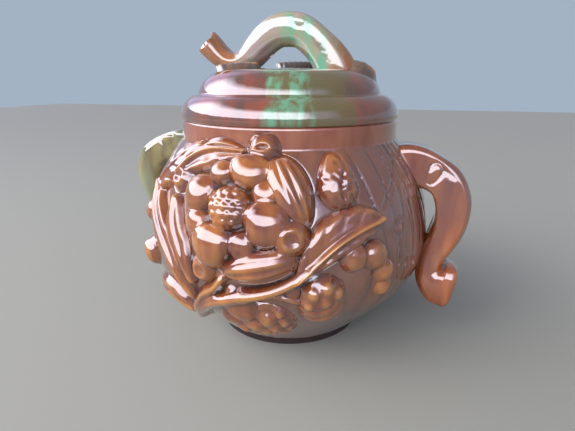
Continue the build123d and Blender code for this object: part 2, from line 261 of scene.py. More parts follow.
def walnut(angle, percent, w, h, high):
    x, y = from_spot(angle, percent)
    body, rho = dome(x * (1 + 0.34 * np.clip(y / h, -0.4, 1)), y, w, h, high, 2.0)
    seam = dip(x - 2.0 * np.sin(y / h * 4.2) - 1.5, 0.9)
    wrinkle = np.sin(0.55 * x + 1.7 * np.sin(0.42 * y)) * np.sin(0.5 * y + 1.3 * np.sin(0.6 * x + 1))
    right = 1 / (1 + np.exp(-(x - 0.5) / 1.5))
    cut = 1.9 * seam * dip(y / h, 0.95) + (0.9 + 1.5 * right) * np.clip(wrinkle, 0, 1)
    return body - np.where(rho < 1, cut, 0)


def pumpkin(angle, percent, r, high):
    x, y = from_spot(angle, percent)
    body, rho = dome(x, y, r, r * 1.1, high, 2.2)
    rib = np.abs(np.cos(2.5 * np.arctan2(x, y - 0.9 * r)))
    crown = 1.6 * dip(np.hypot(x, y - 0.75 * r), 2.4)
    return body - np.where(rho < 1, 1.6 * (1 - rib) ** 2, 0) + np.where(rho < 1, crown, 0)


# %% [markdown]
# The fir cone is rows of pointed scales, each row set half a scale over from the last, like roof
# tiles. Each scale is highest at its lower end, where the real one lifts off the cone. The husked nut
# sits in a frill of pointed husks that all grow from one place.

# %% Cone and husk
SCALE_W, SCALE_ROW = 16.0, 9.5      # width of a cone's scale, and the distance from row to row


def fir_cone(angle, percent, w, h, high, lean):
    x, y = from_spot(angle, percent, lean)
    body, rho = dome(x, y, w, h, high, 2.4)
    finer = 1 + 0.5 * np.clip(x / w, -1, 1) - 0.35 * np.clip(y / h, -1, 1)
    up = y * finer / SCALE_ROW
    row = np.round(up)
    u = x * finer / SCALE_W - 0.5 * (row % 2)
    du, dv = u - np.round(u), up - row
    tile = np.clip(1 - np.abs(du) / 0.5 - np.abs(dv) / 1.05, 0, 1) ** 0.42
    return body + np.where(rho < 1, 4.4 * tile - 2.6, 0)


def husked_nut(angle, percent):
    x, y = from_spot(angle, percent, 8)
    body, rho = dome(x, y, 15.5, 20, 8.5, 2.2)
    for low, bow, deep in ((-1.0, 0.035, 1.3), (-7.5, 0.03, 1.3), (-13.0, 0.025, 1.0)):
        line = y - low - 0.28 * x - bow * x ** 2
        body = body - np.where(rho < 1, deep * dip(line, 1.0) - 0.5 * deep * dip(line + 2.2, 1.3), 0)
    lumps = ((-5.5, 10.5, 4.6), (3.0, 12.5, 5.0), (9.5, 8.0, 4.2), (-9.5, 3.5, 3.8), (1.0, 5.0, 4.6))
    for u, v, r in lumps:
        body = np.maximum(body, dome(x - u, y - v, r, r, 3.2)[0] + 7.2 * (1 - 0.5 * rho ** 2))
    return body


# %% [markdown]
# Leaves and branches are drawn from a line, as a carver would start from the midrib. For every spot the
# line gives how far along it lies and how far to one side, so a leaf's width, its veins and its toothed
# edge all follow the line wherever it bends.

# %% Leaves and branches
def leaf(places, left, right, high, veins=6, tooth=0.0, slant=0.9, fullest=0.45, rib=1.2, cup=0.35):
    t, d, length = from_line(places)
    wide = np.where(d > 0, left, right)
    swell = np.clip(np.sin(pi * t ** (np.log(0.5) / np.log(fullest))), 0, 1) ** 0.6
    phase = veins * (t - slant * np.abs(d) / length)
    swell = swell * (1 + tooth * ((phase % 1) - 0.5))
    edge = np.maximum(wide * swell, 0.01)
    q = np.abs(d) / edge
    blade = high * np.clip(1 - q ** 4, 0, 1) ** 0.5
    hollow = cup * high * np.exp(-((q - 0.4) / 0.25) ** 2)
    vein = 0.16 * high * (0.5 + 0.5 * np.cos(2 * pi * phase)) ** 3 * np.clip(q, 0, 1)
    ridge = rib * np.exp(-(d / 1.3) ** 2) - 0.5 * rib * np.exp(-((np.abs(d) - 2.6) / 1.0) ** 2)
    return np.where(q < 1, blade - hollow - vein + ridge, (1 - q) * edge * FALL)


def twig(places, start_w, end_w, high, ridges=1.5, knots=()):
    t, d, length = from_line(places)
    half = (start_w + (end_w - start_w) * t) / 2
    for place, more in knots:
        half = half * (1 + more * np.exp(-((t - place) * length / 5) ** 2))
    q = np.abs(d) / half
    bark = 0.35 * np.cos(ridges * 2 * pi * d / start_w + 1.5 * np.sin(9 * t)) * (q < 0.9)
    over = np.clip(1 - np.abs(t - 0.5) * 2, 0, 0.06) / 0.06
    crest = high * np.sqrt(np.clip(1 - q ** 2, 0, 1)) * (0.55 + 0.45 * over)
    return np.where(q < 1, crest + bark, (1 - q) * half * FALL)


# %% [markdown]
# The panel itself: every sprig with its spot on the wall. Sprigs that share a name share a CAD node,
# and the highest one of a node wins where two of its fruits meet.

# %% The panel, sprig by sprig
def highest(*shapes):
    return np.maximum.reduce(shapes)


def heap():
    """The mound of clay under the pile of fruit, so that the gaps between fruit are not bare wall."""
    x, y = from_spot(0.5, 76)
    away = np.sqrt((x / 44) ** 2 + (y / 46) ** 2)
    return 4.6 / (1 + np.exp((away - 0.92) / 0.07))


HEAP = heap()


SPRIGS = {
    "rose_hips": HEAP + highest(rose_hip(5.8, 100.5, 9.8, 6.5), rose_hip(-29.5, 86, 9.2, 6),
                                rose_hip(17.3, 66.8, 11.2, 7.5, 20), rose_hip(-12.5, 51, 9.8, 6.5)),
    "hazelnuts": HEAP + highest(hazelnut(-16.5, 81.5, 12.5, 13, 7.5), hazelnut(2.2, 91, 14, 11.5, 8, -14),
                                hazelnut(-8.5, 62, 14, 14.5, 8.5), hazelnut(9.3, 72, 14, 14.5, 9, -8)),
    "berries": HEAP + highest(berry(-9, 90, 8, 5.5), berry(8.8, 83.2, 8.5, 5.5),
                              berry(-15.2, 70.8, 9, 6), berry(1.8, 63.5, 9, 5.5)),
    "cherries": highest(berry(38, 57.1, 9.6, 6.5), berry(46, 56.6, 9.8, 6.5),
                        berry(50.5, 48, 7.8, 5), berry(51.5, 39.6, 7, 4.5)),
    "buds": highest(berry(17.5, 43.5, 5.2, 3.5), berry(-3, 41.5, 4.8, 3), berry(-6, 50, 4.2, 3)),
    "bramble": HEAP + bramble(-3.5, 77.5, 14, 7.5),
    "almond_pod": HEAP + almond_pod(17.2, 85, 12.5, 23.5, 8.5, 23,
                                    ((-0.3, 1.1), (0.12, 1.7), (0.55, 1.2)), -0.15),
    "walnut": walnut(34.5, 88.4, 13, 19.5, 8.5),
    "broad_bean": HEAP + almond_pod(7.5, 55, 11.5, 25, 8.5, -78,
                                    ((-0.45, 0.8), (0.1, 1.6), (0.5, 1.1)), -0.12),
    "husked_nut": husked_nut(27.5, 38),
    "fir_cone": fir_cone(4.0, 24.5, 27, 23, 6.5, -8),
    "side_fruit": pumpkin(-53, 43.5, 10.5, 9),
    "side_pod": highest(berry(-63, 62, 9, 6),
                        leaf([(-60, 24), (-48, 29), (-36, 30), (-24, 25)], 9, 9, 7.5,
                             veins=3, slant=0.6, fullest=0.5, rib=1.5, cup=0.2)),
    "top_leaf": leaf([(-32, 87), (-26, 94), (-16, 98.5), (-1, 98.5)], 9.5, 12, 6.5,
                     veins=2, slant=0.4, fullest=0.5, rib=2.0, cup=0.3),
    "serrated_leaf": leaf([(-46, 78), (-41, 87), (-35, 94), (-25, 102)], 11, 11, 5.5,
                          veins=5, tooth=0.18, slant=0.7, fullest=0.4, rib=0.8, cup=0.1),
    "long_leaf": leaf([(-45, 82), (-42, 71), (-34, 60), (-27, 50), (-19, 34)], 10, 10.5, 6.5,
                      veins=2, fullest=0.35, cup=0.25),
    "inner_leaf": leaf([(-29, 79), (-27.5, 68), (-23, 57), (-17.5, 42)], 8.5, 8.5, 6.0,
                       veins=2, fullest=0.4, rib=1.0, cup=0.25),
    "broad_leaf": leaf([(18, 48), (25, 57), (32, 64), (40, 68.5), (50, 71.5)], 17.5, 9.5, 6.5,
                       tooth=0.06, fullest=0.58, rib=2.4, cup=0.2),
    "main_branch": twig([(-25, 20), (-20, 28), (-12, 35), (-4, 38.5), (8, 43.5), (16, 48), (24, 55)],
                        13, 7, 7.5, knots=((0.2, 0.2), (0.55, 0.15))),
    "twig": highest(twig([(-21, 29), (-15, 37), (-9, 43), (-5, 49)], 8.5, 6, 6.5, 1.2, ((0.6, 0.2),)),
                    twig([(6, 43), (13, 42), (20, 39.5)], 6, 5, 4.5, 1.0)),
}
print("sprigs", len(SPRIGS))

# %% [markdown]
# Where two sprigs meet, a moulded pot has no sharp crease: the glaze fills it to a small round. A
# smooth maximum does the same. It takes the higher of two heights, and where they are nearly level it
# adds a little. The sprigs stay separate pieces: each keeps the part of the surface where it is the
# highest, plus a narrow hidden skirt that dives under its neighbours.

# %% One surface, shared out between its owners
FILLET, SEAM_FILLET = 3.2, 3.6      # rounding where relief meets wall, and where it meets relief
OWN_SKIRT = 1.0                     # the wall is let in where a sprig ends less than this below it


def smooth_max(a, b, round_by):
    return np.maximum(a, b) + np.clip(round_by - np.abs(a - b), 0, None) ** 2 / (4 * round_by)


names = list(SPRIGS)
stack = np.stack([SPRIGS[n] for n in names])
best = stack.max(axis=0)
owner = stack.argmax(axis=0)
second = np.sort(stack, axis=0)[-2]
height = np.full(A.shape, -9.0)
for layer in stack:
    height = smooth_max(height, layer, SEAM_FILLET)
height = smooth_max(np.zeros(A.shape), height, FILLET)
height = smooth(smooth(height, 1, 0), 1, 1)
# the glaze reads this: painted crease shade in the hollows, lighter copper on the ridges
cavity = height - smooth(smooth(height, 5, 0), 5, 1)
print("tallest relief, mm:", round(float(height.max()), 1))

# %% [markdown]
# The grid is now bent round the pot: each spot moves out from the wall by its height, square to it.
# Only the spots that a sprig owns are kept. Its open rim is then closed with one hidden face inside the
# clay, so every sprig is a closed piece like a real applied sprig. The second panel is the first one
# turned half way round, as when the same mould is pressed on the other side.

# %% Bend the panel round the pot and cut it into sprigs
SINK = 1.6          # a sprig goes on under its neighbour until it is this deep
KEY_DEPTH = 2.6     # its rim then runs straight down to this depth under the wall


def on_pot(angle, s, out):
    """Points in metres for angles round the pot, distances up the wall and heights off it."""
    slope = np.interp(s, WALL_S, WALL_SLOPE)
    r = np.interp(s, WALL_S, WALL_R) + out * np.cos(slope)
    z = np.interp(s, WALL_S, WALL_Z) - out * np.sin(slope)
    a = np.radians(angle)
    return np.stack([r * np.sin(a), -r * np.cos(a), z], axis=-1) * MM


def new_piece(name, verts, faces, body, replaced, values=None):
    mesh = bpy.data.meshes.new(name)
    mesh.from_pydata(verts, [], faces)
    if values is not None:
        stored = mesh.attributes.new("cavity", "FLOAT", "POINT")
        stored.data.foreach_set("value", np.asarray(values, np.float32))
    mesh.shade_smooth()
    mesh.validate()
    piece = bpy.data.objects.new(name, mesh)
    bpy.context.scene.collection.objects.link(piece)
    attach(piece, body)
    if replaced:
        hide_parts(*replaced)
    return piece


def close_holes(mesh):
    """Closes every open rim with a face of its own."""
    bm = bmesh.new()
    bm.from_mesh(mesh)
    open_edges = [e for e in bm.edges if e.is_boundary]
    bmesh.ops.holes_fill(bm, edges=open_edges, sides=0)
    bm.normal_update()
    bm.to_mesh(mesh)
    bm.free()


def kept_part(keep):
    """The spots of a grid that a kept cell touches, and the cells' faces, numbered among those spots."""
    cells = keep[:-1, :-1] & keep[1:, :-1] & keep[:-1, 1:] & keep[1:, 1:]
    used = np.zeros(keep.shape, bool)
    for dr in (0, 1):
        for dc in (0, 1):
            used[dr:used.shape[0] - 1 + dr, dc:used.shape[1] - 1 + dc] |= cells
    n = np.full(keep.shape, -1)
    n[used] = np.arange(used.sum())
    return used, np.stack([n[:-1, :-1], n[:-1, 1:], n[1:, 1:], n[1:, :-1]], axis=-1)[cells]


def with_key(verts, quads, under_verts, values):
    """Runs the rim of a sheet straight down to the same spots of a lower sheet, like a key in the clay."""
    count = len(verts)
    start, end = quads.ravel(), np.roll(quads, -1, axis=1).ravel()
    open_rim = ~np.isin(start * count + end, end * count + start)
    start, end = start[open_rim], end[open_rim]
    rim = np.unique(np.concatenate([start, end]))
    low_start, low_end = count + np.searchsorted(rim, start), count + np.searchsorted(rim, end)
    sides = np.stack([end, start, low_start, low_end], axis=-1)
    return (np.concatenate([verts, under_verts[rim]]).tolist(), quads.tolist() + sides.tolist(),
            np.concatenate([values, np.zeros(len(rim))]))


def sprig_piece(name, turn, index):
    layer = stack[index]
    others = np.where(owner == index, second, best)
    buried = np.clip(np.maximum(others, -OWN_SKIRT) - layer, 0, None)
    used, quads = kept_part(buried < SINK)
    verts = on_pot(A[used] + turn, S[used], (height - buried)[used])
    under_verts = on_pot(A[used] + turn, S[used], np.full(used.sum(), -KEY_DEPTH))
    all_verts, all_faces, values = with_key(verts, quads, under_verts, cavity[used])
    side = "front" if turn == 0 else "back"
    node = f"{side}_{name}"
    piece = new_piece(node + "_relief", all_verts, all_faces, "jar", [node], values)
    close_holes(piece.data)
    return piece


sprig_pieces = [sprig_piece(n, turn, i) for turn in (0.0, 180.0) for i, n in enumerate(names)]
print("sprig pieces", len(sprig_pieces), "faces", sum(len(p.data.polygons) for p in sprig_pieces))

# %% [markdown]
# Between the panels the wall is cut like bark: broad upright flutes with thin grooves between them that are
# painted dark as crease shade, a slanting line and a knot. The pot is a solid of revolution, so its mesh is
# rings, and the bark is a small height again. Under each sprig the wall is let in a little, so that it never
# breaks through.

# %% The pot itself
RINGS_ROUND = 512
FLUTE_DEG = 6.4                     # one flute of the bark, in degrees round the pot
KNOT_DEG, KNOT_Z = 59.0, 108.0      # a knot in the bark
LET_IN, MOST_COVER = 1.1, 1.5       # how far the wall sinks per millimetre of cover, and the most that counts


def sample(grid, angle, s):
    """Reads a panel grid at any angles and distances, and gives its edge value outside."""
    col = np.clip((angle - PANEL_A[0]) / (PANEL_A[1] - PANEL_A[0]), 0, len(PANEL_A) - 1.001)
    row = np.clip((s - PANEL_S[0]) / (PANEL_S[1] - PANEL_S[0]), 0, len(PANEL_S) - 1.001)
    c, r = col.astype(int), row.astype(int)
    fc, fr = col - c, row - r
    top = grid[r, c] * (1 - fc) + grid[r, c + 1] * fc
    return top * (1 - fr) + (grid[r + 1, c] * (1 - fc) + grid[r + 1, c + 1] * fc) * fr


def bark(angle, s):
    """Height of the bark on the wall, in millimetres, for angles from -90 to 90 on each half."""
    z = np.interp(s, WALL_S, WALL_Z)
    lean = 0.0009 * (SHOULDER_Z - z) ** 2 - 0.16 * (SHOULDER_Z - z)
    u = (angle + lean + 1.2 * np.sin(z / 19 + angle / 7) + 1.5 * np.sin(angle / 5.3)) / FLUTE_DEG
    flute = 1.1 * np.clip(np.abs(np.sin(pi * u)) * 1.9, 0, 1) ** 0.7 - 1.1
    fine = 0.14 * np.sin(angle * 2.9 + lean * 2.9 + 2.0 * np.sin(z / 23))
    away = np.hypot((angle - KNOT_DEG) * 1.9, z - KNOT_Z)
    flute = (flute + fine) * (1 - dip(away, 7)) - 0.9 * dip(away - 5.5, 1.0) + 0.8 * dip(away, 3.2)
    slant = (z - 151) - (angle - 68) * 1.67
    flute = flute - 0.8 * dip(slant, 1.3) * (np.abs(angle - 61) < 9)
    beyond = np.clip((np.abs(angle + 8) - 47) / 6, 0, 1)
    fade = np.clip((z - 20) / 25, 0, 1) * np.clip((SHOULDER_Z + 3 - z) / 6, 0, 1)
    return flute * beyond * fade


def arc_points(centre, radius, start, end, count):
    a = np.radians(np.linspace(start, end, count))
    return [(centre[0] + radius * cos(t), centre[1] + radius * sin(t)) for t in a]


outer_s = np.linspace(0, WALL_S[-1] - 2, 150)
under = [(0.0, RECESS_H), (FOOT_BORE_R - 1, RECESS_H), (FOOT_BORE_R, RECESS_H - 1), (FOOT_BORE_R, 0.8),
         (FOOT_BORE_R + 0.8, 0), (FOOT_R - 1.5, 0), (FOOT_R - 0.4, 0.4), (FOOT_R, 1.5),
         (FOOT_R, FOOT_H - 0.8), (FOOT_R + 0.8, FOOT_H)]
rim = arc_points((COLLAR_R - 2, RIM_Z - 2), 2, 0, 90, 5)
rim += arc_points((MOUTH_R + 2, RIM_Z - 2), 2, 90, 180, 5)
inner_turn = upper_turn() - WALL
neck_z = BELLY_Z + sqrt(inner_turn ** 2 - (MOUTH_R - BELLY_R + upper_turn()) ** 2)
neck = [(MOUTH_R, z) for z in np.linspace(RIM_Z - 6, neck_z + 1, 3)]
top_a = degrees(atan2(neck_z - BELLY_Z, MOUTH_R - BELLY_R + upper_turn()))
inside = arc_points((BELLY_R - upper_turn(), BELLY_Z), inner_turn, top_a, 0, 22)
low_a = degrees(atan2(FLARE_NZ, FLARE_NR))
inside += arc_points((BELLY_R - BELLY_TURN_R, BELLY_Z), BELLY_TURN_R - WALL, 0, low_a, 12)[1:]
floor_z = RECESS_H + WALL
end_r = TANGENT_R - WALL * FLARE_NR + (TANGENT_Z - WALL * FLARE_NZ - floor_z) * FLARE_NZ / FLARE_NR
inside += [(end_r + 6, floor_z + 6), (end_r + 1, floor_z + 1.5), (end_r - 3, floor_z),
           (end_r * 0.5, floor_z), (0.0, floor_z)]


def turned(profile, around):
    """Rings of points from a section's (radius, height) list."""
    a = np.radians(np.arange(around) * 360 / around)
    x, y = np.sin(a), -np.cos(a)
    return [np.stack([r * x, r * y, np.full(around, z)], axis=-1) * MM for r, z in profile]


def ring_faces(count, around):
    faces = []
    for i in range(count - 1):
        for j in range(around):
            k = (j + 1) % around
            faces.append((i * around + j, i * around + k, (i + 1) * around + k, (i + 1) * around + j))
    return faces


ring_angle = (np.arange(RINGS_ROUND) * 360 / RINGS_ROUND + 90) % 360 - 90
half_angle = np.where(ring_angle > 90, ring_angle - 180, ring_angle)
half_angle, ring_s = np.meshgrid(half_angle, outer_s)
in_panel = (half_angle > PANEL_LEFT) & (half_angle < PANEL_RIGHT)
covered = np.where(in_panel, sample(best, half_angle, ring_s), -9)
let_in = LET_IN * np.clip(covered + OWN_SKIRT, 0, MOST_COVER)
bark_height = bark(half_angle, ring_s)
wall_rings = on_pot(np.broadcast_to(ring_angle, ring_s.shape), ring_s, bark_height - let_in)
# the bark's own height joins the relief's hollows: its grooves get painted crease shade, its ridges the
# lighter copper
wall_cavity = np.where(in_panel, 0.5 * sample(cavity, half_angle, ring_s), 0) + bark_height * 1.5
rings = turned(under[1:], RINGS_ROUND) + list(wall_rings) + turned(rim + neck + inside[:-1], RINGS_ROUND)
verts = np.concatenate(rings)
below, above = len(under) - 1, len(rim + neck + inside) - 1
plain_below, plain_above = np.zeros(below * RINGS_ROUND), np.zeros(above * RINGS_ROUND + 2)
cavity_values = np.concatenate([plain_below, wall_cavity.ravel(), plain_above])
faces = ring_faces(len(rings), RINGS_ROUND)
bottom, top = len(verts), len(verts) + 1
verts = np.vstack([verts, [[0, 0, under[0][1] * MM], [0, 0, floor_z * MM]]])
last = (len(rings) - 1) * RINGS_ROUND
for j in range(RINGS_ROUND):
    k = (j + 1) % RINGS_ROUND
    faces += [(bottom, k, j), (top, last + j, last + k)]
pot = new_piece("pot_body", verts.tolist(), faces, "jar", ["jar_shell"], cavity_values)
pot.data.set_sharp_from_angle(angle=radians(50))
print("pot faces", len(pot.data.polygons))

# %% [markdown]
# The handles are branches: a line that bends, a thickness that changes along it, and a section that is
# more a rounded plank than a pipe. A sweep does this. Rings of points are set square to the line, and
# each ring is a superellipse, which has flat faces and firm edges. Long ridges and a knot or two are
# added to the ring's radius. The sawn end flares and is dished.

# %% A bent branch as a sweep
AROUND = 56


def bent_branch(stations, ridges, knots, end_rings, square=2.8, lean=0.0, into_wall=0.0):
    """Points, faces and hollows of a branch in the XZ plane.

    Stations are (x, z, half thickness, half depth). A branch with a root goes into_wall millimetres
    into the pot's wall and no farther.
    """
    line = spline(stations)
    xz, half, deep = line[:, :2], line[:, 2], line[:, 3]
    along = np.gradient(xz, axis=0)
    along /= np.linalg.norm(along, axis=1)[:, None]
    length = np.concatenate([[0], np.cumsum(np.hypot(*np.diff(xz, axis=0).T))])
    phi = np.arange(AROUND) * 2 * pi / AROUND
    c, s = np.cos(phi), np.sin(phi)
    across = np.sign(c) * np.abs(c) ** (2 / square)
    depth = np.sign(s) * np.abs(s) ** (2 / square)
    bumps = np.zeros((len(line), AROUND))
    for count, high, twist in ridges:
        bumps += high * np.cos(count * phi[None, :] + twist * length[:, None] / 20
                               + 0.5 * np.sin(length[:, None] / 9 + count))
    for where, turn, wide, high in knots:
        round_it = np.angle(np.exp(1j * (phi[None, :] - turn))) * half[:, None]
        away = np.hypot(length[:, None] - where, round_it)
        bumps += high * dip(away, wide) - 1.3 * high * dip(away - 1.35 * wide, 0.3 * wide)
    normal = np.stack([along[:, 1], -along[:, 0]], axis=1)
    out_in = (half[:, None] + bumps) * across[None, :]
    out_y = (deep[:, None] + bumps) * depth[None, :]
    x = xz[:, :1] + normal[:, :1] * out_in
    z = xz[:, 1:] + normal[:, 1:] * out_in
    rings = [np.stack([x[i], out_y[i], z[i]], axis=-1) for i in range(len(line))]
    hollow = list(bumps)
    centre = np.array([xz[-1, 0], 0, xz[-1, 1]])
    ahead = np.array([along[-1, 0], 0, along[-1, 1]])
    points_out = np.cos(2 * phi)[:, None] * ahead
    for shrink, push, point in end_rings:
        rings.append(centre + (rings[len(line) - 1] - centre) * shrink + ahead * push + points_out * point)
        hollow.append(np.full(AROUND, push * 0.1))
    verts = np.concatenate(rings)
    verts[:, 1] += lean * (verts[:, 2] - xz[0, 1])
    if into_wall:
        least = wall_radius(verts[:, 2]) - into_wall
        inside = np.hypot(verts[:, 0], verts[:, 1]) < least
        pushed = np.sqrt(np.clip(least ** 2 - verts[:, 1] ** 2, 0, None))
        verts[:, 0] = np.where(inside, pushed, verts[:, 0])
    faces = ring_faces(len(rings), AROUND)
    faces.append(tuple(range(AROUND))[::-1])
    last = (len(rings) - 1) * AROUND
    faces.append(tuple(range(last, last + AROUND)))
    return verts, faces, np.concatenate(hollow)


RIGHT_STATIONS = [
    (84, 139, 15, 14), (95, 141.5, 17, 14.5), (105, 141, 15.8, 13.5), (117, 136.5, 13.8, 12.5),
    (127, 129, 13.5, 12.5), (132.5, 116, 13.4, 12.3), (132.6, 101, 12.6, 12.2), (128.4, 87, 11.8, 12),
    (122.6, 75, 10.4, 11.8), (120, 64, 9.8, 12), (121.8, 57, 12, 13), (127.6, 52, 15.5, 14.5),
    (133.5, 50.5, 16, 15)]
LEFT_STATIONS = [
    (84, 149, 14, 14), (95, 149.5, 15, 14), (106, 147.5, 14.5, 13.5), (118, 143, 14, 13),
    (128.5, 135.5, 13.8, 12.8), (134, 124.5, 13.5, 12.6), (133.4, 113, 13, 12.4), (128.5, 101, 12.4, 12.2),
    (123, 89, 11.6, 12), (119, 76, 10.6, 12), (118, 64, 10, 12), (119.6, 54, 12, 13),
    (124, 46.5, 15.8, 14.5), (129, 41.5, 17.6, 15)]
ROOT_DEPTH = 4.0
SIDE_RIDGES = ((3, 0.4, 1.0), (5, 0.25, -0.7), (9, 0.15, 0.5))
SIDE_KNOTS = ((22, 2.0, 4.5, 1.0), (34, 4.6, 3.5, 0.8))
ROUNDED_END = ((1.0, 2.0, 0), (0.96, 3.8, 0), (0.88, 5.2, 0), (0.75, 6.2, 0), (0.55, 6.8, 0), (0.3, 7.0, 0))


def side_branch(name, node, stations, square, lean, turned_over):
    verts, faces, hollow = bent_branch(stations, SIDE_RIDGES, SIDE_KNOTS, ROUNDED_END, square, lean,
                                       ROOT_DEPTH)
    scaled = verts * ((-MM, -MM, MM) if turned_over else MM)
    return new_piece(name, scaled.tolist(), faces, "jar", [node], hollow)


right = side_branch("right_branch", "right_handle", RIGHT_STATIONS, 4.2, 0.14, False)
left = side_branch("left_branch", "left_handle", LEFT_STATIONS, 3.6, 0.10, True)
print("side handles", [round(v, 3) for v in right.dimensions])

# %% [markdown]
# The lid's section is two round steps and a nearly flat top, hollow underneath, with a ring that drops
# into the collar. The branch over it rises from its sawn side shoot, dips to touch the lid, loops up
# and comes down to the far side.

# %% The lid and its loop
LID_R, LID_EDGE_H, TIER_1_H, TIER_2_H = 87.0, 4.0, 19.0, 17.5
WAIST_R, LID_TOP_R, LID_CROWN, LID_WALL = 73.0, 50.0, 2.0, 6.0
FLANGE_H, FLANGE_WALL, FLANGE_PLAY = 12.0, 5.5, 2.0
LID_TOP_Z = RIM_Z + TIER_1_H + TIER_2_H


def sagitta(start, end, bulge, count):
    """Points on an arc from start to end that bows out by bulge."""
    (x0, y0), (x1, y1) = start, end
    chord = hypot(x1 - x0, y1 - y0)
    radius = (chord ** 2 / 4 + bulge ** 2) / (2 * bulge)
    ux, uy = (x1 - x0) / chord, (y1 - y0) / chord
    cx = (x0 + x1) / 2 + uy * (bulge - radius)
    cy = (y0 + y1) / 2 - ux * (bulge - radius)
    a0, a1 = atan2(y0 - cy, x0 - cx), atan2(y1 - cy, x1 - cx)
    return [(cx + radius * cos(t), cy + radius * sin(t)) for t in np.linspace(a0, a1, count)]


tier_1 = sagitta((LID_R, RIM_Z + LID_EDGE_H), (WAIST_R, RIM_Z + TIER_1_H), 3.6, 22)
tier_2 = sagitta((WAIST_R, RIM_Z + TIER_1_H), (LID_TOP_R, LID_TOP_Z), 5.2, 26)
flange_r = MOUTH_R - FLANGE_PLAY
flange_in = flange_r - FLANGE_WALL
crown = [(LID_TOP_R * k, LID_TOP_Z + LID_CROWN * (1 - k * k)) for k in np.linspace(1, 0.08, 14)[1:]]
lid_out = [(LID_R - 0.8, RIM_Z + 0.05), (LID_R - 0.1, RIM_Z + 0.9)] + tier_1[:-1] + tier_2 + crown
lid_in = [(LID_TOP_R * 0.3, LID_TOP_Z - LID_WALL), (LID_TOP_R - LID_WALL, LID_TOP_Z - LID_WALL),
          (WAIST_R - 2 * LID_WALL, RIM_Z + TIER_1_H + LID_WALL / 2), (flange_in, RIM_Z + LID_EDGE_H),
          (flange_in, RIM_Z - FLANGE_H + 1), (flange_in + 1, RIM_Z - FLANGE_H),
          (flange_r - 1, RIM_Z - FLANGE_H), (flange_r, RIM_Z - FLANGE_H + 1), (flange_r, RIM_Z)]
LID_AROUND = 256
rings = turned(lid_out + lid_in, LID_AROUND)
verts = np.concatenate(rings)
faces = ring_faces(len(rings), LID_AROUND)
last = (len(rings) - 1) * LID_AROUND
for j in range(LID_AROUND):
    k = (j + 1) % LID_AROUND
    faces.append((last + j, last + k, k, j))
lid = new_piece("lid_two_tier", verts.tolist(), faces, "lid", ["lid_shell"],
                np.zeros(len(verts)))
LOOP_STATIONS = [
    (41, 203, 14, 12.5), (37.5, 212, 15.5, 13.5), (31.5, 222, 14.2, 13), (23.5, 231.3, 12.8, 12.8),
    (14.8, 238.8, 12.8, 12.8), (7.8, 242.3, 13, 13), (-0.5, 243.2, 13, 13), (-9, 241.8, 12.6, 12.6),
    (-17, 237.5, 12.3, 12.3), (-25, 230.6, 11.6, 12), (-33.5, 222.6, 10.2, 11.5), (-43, 218.6, 8.2, 11),
    (-53, 220, 8.2, 10.2), (-61, 225.2, 9.2, 10.2), (-66, 230, 9.8, 10.6), (-69, 233.2, 10, 10.8)]
LOOP_RIDGES = ((3, 0.35, 0.8), (6, 0.25, -0.6))
LOOP_KNOT = (52, 5.2, 3.2, 0.45)
SAWN_END = ((1.0, 0, 3.5), (0.96, 0, 4.2), (0.86, -0.5, 3.0), (0.7, -2.0, 1.5), (0.5, -3.0, 0.5),
            (0.25, -3.6, 0))
verts, faces, hollow = bent_branch(LOOP_STATIONS, LOOP_RIDGES, (LOOP_KNOT,), SAWN_END, 2.3)
loop = new_piece("lid_branch_loop", (verts * MM).tolist(), faces, "lid", ["lid_handle"],
                 hollow)
print("lid", [round(v, 3) for v in lid.dimensions], "loop", [round(v, 3) for v in loop.dimensions])


# %% [markdown]
# Three fleshy leaves are pressed on the lid beside the feet of its loop. Each is drawn flat on a grid of
# its own, like the sprigs of the panel, and then laid on the lid's outside at any place and turn.

# %% Leaves pressed on the lid
def lid_height(r):
    """Height of the lid's outside at radii r."""
    rs, zs = zip(*sorted(lid_out))
    return np.interp(r, rs, zs)


LEAF_KEY_DEPTH = 3.0    # the rim of a leaf runs this deep under the lid's surface
LEAF_STEP = 0.8         # spacing of a leaf's own grid
LEAF_MARGIN = 3.0       # the grid goes this far beyond the leaf
LEAF_SKIRT = 2.0        # a leaf's skirt is cut off this far under the surface


def lid_leaf_piece(name, node, x, y, length, width, turn, high, veins):
    reach_u, reach_v = length / 2 + LEAF_MARGIN, width / 2 + LEAF_MARGIN
    u, v = np.meshgrid(np.arange(-reach_u, reach_u, LEAF_STEP), np.arange(-reach_v, reach_v, LEAF_STEP))
    t = u / length + 0.5
    edge = np.maximum(width / 2 * np.clip(np.sin(pi * np.clip(t, 0, 1) ** 0.9), 0, 1) ** 0.6, 0.01)
    q = np.abs(v) / edge
    vein = (0.5 + 0.5 * np.cos(2 * pi * veins * (t - 0.5 * np.abs(v) / length))) ** 3
    blade = high * np.clip(1 - q ** 2, 0, 1) ** 0.75
    blade = blade - 1.0 * dip(v, 1.2) - 1.4 * vein * np.clip(q * (1.4 - q), 0, 1)
    beyond = (1 - q) * edge * FALL
    out = smooth_max(np.where(q < 1, blade, beyond), np.zeros(u.shape), 1.6)
    drop = np.clip(-np.where(q < 1, 1, beyond) - 0.8, 0, 2.5)
    c, s = cos(radians(turn)), sin(radians(turn))
    px, py = x + u * c - v * s, y + u * s + v * c
    surface = lid_height(np.hypot(px, py))
    used, quads = kept_part((drop < LEAF_SKIRT) & (np.hypot(px, py) < WAIST_R - 1))
    verts = np.stack([px, py, surface + out - drop], axis=-1)[used] * MM
    under_verts = np.stack([px, py, surface - LEAF_KEY_DEPTH], axis=-1)[used] * MM
    hollow = (out - smooth(smooth(out, 3, 0), 3, 1))[used]
    all_verts, all_faces, values = with_key(verts, quads, under_verts, hollow)
    piece = new_piece(name, all_verts, all_faces, "lid", [node], values)
    close_holes(piece.data)
    return piece


